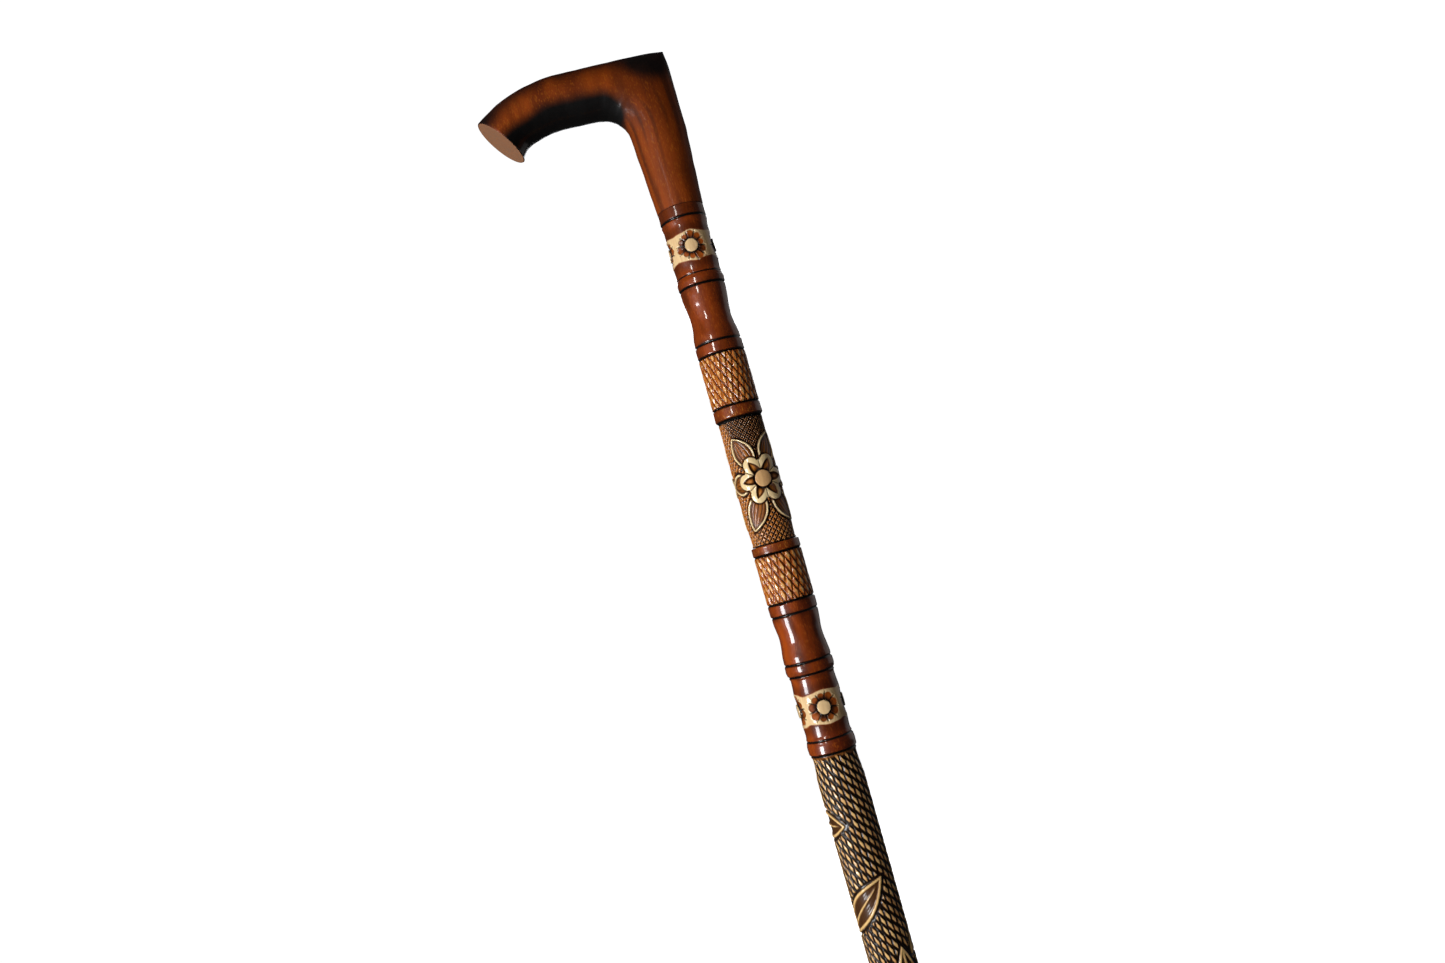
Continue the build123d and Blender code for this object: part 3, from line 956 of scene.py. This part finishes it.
def carved_wood(name, tints, coat, coat_on, satin=0.0):
    """Stain over grain, then thin stain, bare wood, knife cuts and burning, each by its own mark. In
    carved hollows the cut mark also holds painted shade, and on the punched ground the bare mark holds
    painted highlights. The tints are stain, deep stain, thin stain, bare wood and cut wood. `coat_on`
    says how much varnish each mark adds or takes away, and `satin` dulls the wood itself."""
    stain, deep_stain, thin_stain, bare, cut = (colour(*tint) for tint in tints)
    grain_along = (1, 1, 0.06)
    wood = Finish(name)
    streaks = wood.noise(170, grain_along, 4.0)
    fibres = wood.noise(900, grain_along, 3.0)
    blotches = wood.noise(38, (1, 1, 0.5), 2.0)
    flecks = wood.noise(1300, (1, 1, 0.35), 1.0, 0.56, 0.68)
    bands = wood.noise(60, (1, 1, 0.05), 2.0, 0.4, 0.6)
    body = wood.mix(streaks * 0.35 + blotches * 0.35 + bands * 0.3, deep_stain, stain)
    body = wood.mix(flecks * 0.42, body, thin_stain)
    thin = wood.mix(fibres * 0.5, thin_stain, stain)
    pale = wood.mix(fibres * 0.22, bare, thin_stain)
    shadows = wood.noise(44, (1, 1, 0.05), 3.0, 0.5, 0.68)
    body = wood.mix(shadows * 0.5, body, cut)
    shade = wood.mix(wood.mark("amber"), body, thin)
    shade = wood.mix(wood.mark("bare"), shade, pale)
    shade = wood.mix(wood.mark("cut"), shade, cut)
    shade = wood.mix(wood.mark("char"), shade, soot)
    gloss = coat
    for mark, share in coat_on.items():
        gloss = wood.mark(mark) * share + gloss
    ripple = wood.noise(520, (1, 1, 0.7), 2.0, 0.0, 1.0)
    pores = wood.noise(1500, grain_along, 2.0, 0.0, 1.0)
    wood.set(
        Base_Color=shade,
        Roughness=fibres * 0.14 + (0.34 + satin),
        Specular_IOR_Level=0.2,
        Coat_Weight=wood.maths("MAXIMUM", wood.maths("MINIMUM", gloss, 1.0), 0.0),
        Coat_Roughness=0.09 + satin / 3,
        Coat_IOR=1.5,
        Normal=wood.bump(ripple * 0.7 + pores * 0.3, 0.00026, 0.7),
    )
    return wood.material


# %% [markdown]
# ## Five finishes from one recipe
# The turned zones are stained deepest, the drums and the flower panel are paler, the lattice is all
# but black, and the handle has hardly any varnish on it. Each piece of the shaft takes the finish
# whose key its name begins with.

# %% Mix the finishes and give them out
varnished = {"cut": -0.7}
recipes = {
    "turned_wood_lacquered": (
        [(176, 74, 10), (84, 24, 3), (176, 88, 22), (250, 214, 158), (40, 13, 3)], 1.0, varnished),
    "hatched_wood_lacquered": (
        [(186, 92, 22), (150, 62, 10), (204, 116, 30), (255, 204, 128), (58, 17, 3)], 1.0, varnished),
    "flower_wood_lacquered": (
        [(168, 76, 16), (108, 40, 6), (224, 138, 46), (255, 228, 172), (34, 10, 2)],
        1.0, {"cut": -0.9, "char": -0.8}),
    "blackened_wood_lacquered": (
        [(140, 72, 18), (84, 36, 8), (186, 112, 48), (253, 208, 136), (40, 18, 6)],
        1.0, {"cut": -0.7, "char": -0.4}),
    "handle_wood_lacquered": (
        [(178, 78, 8), (98, 35, 3), (188, 102, 24), (146, 106, 80), (44, 13, 3)],
        0.03, {"char": 0.4, "bare": -1.0}, 0.24),
}
turned, hatched, flowered, blackened, scorched = (carved_wood(name, *recipes[name]) for name in recipes)
finish_for = {
    "flower_band": turned, "waist": turned, "shaft_tip": turned,
    "hatching": hatched, "flower_panel": flowered, "lattice": blackened,
}
for name, piece in pieces.items():
    key = next(key for key in finish_for if name.startswith(key))
    piece.data.materials.append(finish_for[key])
handle.data.materials.append(scorched)
print("finishes of wood:", list(recipes))

# %% [markdown]
# ## Rubber and steel
# The foot is black moulded rubber: dull, a little dusty on its ribs. The washer under the stick and
# the stud in the handle are plated steel. They are hidden, but they are seen when the foot comes off.

# %% Finishes for the hidden and the working parts
rubber = Finish("moulded_rubber")
dust = rubber.noise(130, (1, 1, 1), 4.0, 0.45, 0.75)
grit = rubber.noise(2600, (1, 1, 1), 2.0, 0.0, 1.0)
rubber.set(
    Base_Color=rubber.mix(dust * 0.5, colour(24, 23, 23), colour(52, 49, 46)),
    Roughness=0.55 + dust * 0.25,
    Normal=rubber.bump(grit, 0.00012, 0.5),
)
foot.data.materials.append(rubber.material)

steel = Finish("plated_steel")
haze = steel.noise(260, (1, 1, 1), 4.0)
scratch = steel.noise(1800, (1, 1, 0.08), 2.0)
steel.set(
    Base_Color=steel.mix(haze * 0.6, colour(178, 180, 184), colour(140, 141, 146)),
    Metallic=1.0,
    Roughness=0.28 + scratch * 0.2,
)
for node in ("joining_stud", "ferrule_washer"):
    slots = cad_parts[node].data.materials
    slots.clear()
    slots.append(steel.material)
print("materials:", [material.name for material in bpy.data.materials])

# %% [markdown]
# ## A white studio
# The cane is shown over a pale floor and under a pale dome, with nothing behind it but white. The
# floor lies a little lower than the foot, which leaves room to draw the foot off. Both sheets glow,
# so the white stays even, and four soft boxes light the cane.

# %% Floor and dome


def studio_white(name, glow):
    white = Finish(name)
    paper = white.noise(6, (1, 1, 1), 2.0)
    white.set(
        Base_Color=white.mix(paper * 0.2, colour(250, 250, 250), colour(244, 244, 244)),
        Roughness=0.9,
        Emission_Color=colour(255, 255, 255),
        Emission_Strength=glow,
        Specular_IOR_Level=0.0,
    )
    return white.material


def dome_sheet(name, radius, rise):
    """A half sphere, open below: rings at equal angles of height from the floor to the top."""
    height = np.linspace(0.0, math.pi / 2, 24)[:, None]
    around = whole_turn(64)[None]
    points = np.stack([np.cos(height) * np.cos(around), np.cos(height) * np.sin(around),
                       np.sin(height) * np.ones_like(around)], -1) * radius
    points[..., 2] += rise
    return closed_skin(name, points, {})


floor_level, floor_half, dome_radius = -0.04, 9.0, 8.0
square = ((-1, -1), (1, -1), (1, 1), (-1, 1))
floor_corners = [(x * floor_half, y * floor_half, floor_level) for x, y in square]
floor_mesh = bpy.data.meshes.new("floor")
floor_mesh.from_pydata(floor_corners, [], [(0, 1, 2, 3)])
floor = bpy.data.objects.new("floor", floor_mesh)
link(floor)
dome = dome_sheet("dome", dome_radius, floor_level - 0.01)
floor.data.materials.append(studio_white("floor_white", 1.0))
dome.data.materials.append(studio_white("dome_white", 1.0))
for sheet in (floor, dome):
    sheet.visible_glossy = False
    sheet.visible_diffuse = False
dome.visible_shadow = False

# %% [markdown]
# ## Light and camera
# A wide soft box low on the left lights the wood and shows as a long streak in the varnish. A narrow
# one nearer the camera adds small highlights, a weak one opens the right side, and one behind draws
# a thin rim. The camera is a little below the handle, close, and rolled so that the cane leans.

# %% Light and camera
world = bpy.data.worlds.new("room")
world.use_nodes = True
background = world.node_tree.nodes["Background"].inputs
background["Color"].default_value = (0.92, 0.95, 1.0, 1)
background["Strength"].default_value = 0.03
scene.world = world
scene.view_settings.view_transform = "Standard"


def soft_box(name, place, aim, size, watts, tint):
    """An area light at a place, turned to face the aim."""
    lamp = bpy.data.lights.new(name, "AREA")
    lamp.shape, lamp.size, lamp.size_y = "RECTANGLE", size[0], size[1]
    lamp.energy, lamp.color = watts, tint
    box = bpy.data.objects.new(name, lamp)
    box.location = place
    box.rotation_euler = (Vector(aim) - Vector(place)).to_track_quat("-Z", "Y").to_euler()
    link(box)


soft_box("window", (-1.42, -0.78, 0.36), (0, 0, 0.6), (0.5, 0.62), 26, (0.93, 0.96, 1.0))
soft_box("lamp", (-0.95, -1.32, 1.15), (0, 0, 0.78), (0.16, 0.4), 6, (1.0, 0.97, 0.92))
soft_box("side", (1.65, 0.73, 0.9), (0, 0, 0.55), (1.6, 1.6), 2.6, (1.0, 0.92, 0.9))
soft_box("back", (0.45, 2.3, 1.5), (0, 0, 0.5), (1.3, 1.3), 20, (0.97, 0.98, 1.0))

lens_mm, sensor_mm = 29.9, 36.0
camera_place = Vector((-0.12975, -0.6675, 0.606))
look_right, look_up, roll = 9.40, 4.57, 15.69
camera_data = bpy.data.cameras.new("camera")
camera_data.lens, camera_data.sensor_width = lens_mm, sensor_mm
camera_data.clip_start = 0.01
camera = bpy.data.objects.new("camera", camera_data)
aimed = Matrix.Translation(camera_place)
for angle, axis in ((-look_right, "Z"), (90 + look_up, "X"), (-roll, "Z")):
    aimed = aimed @ Matrix.Rotation(angle * DEGREE, 4, axis)
camera.matrix_world = aimed
link(camera)
scene.camera = camera
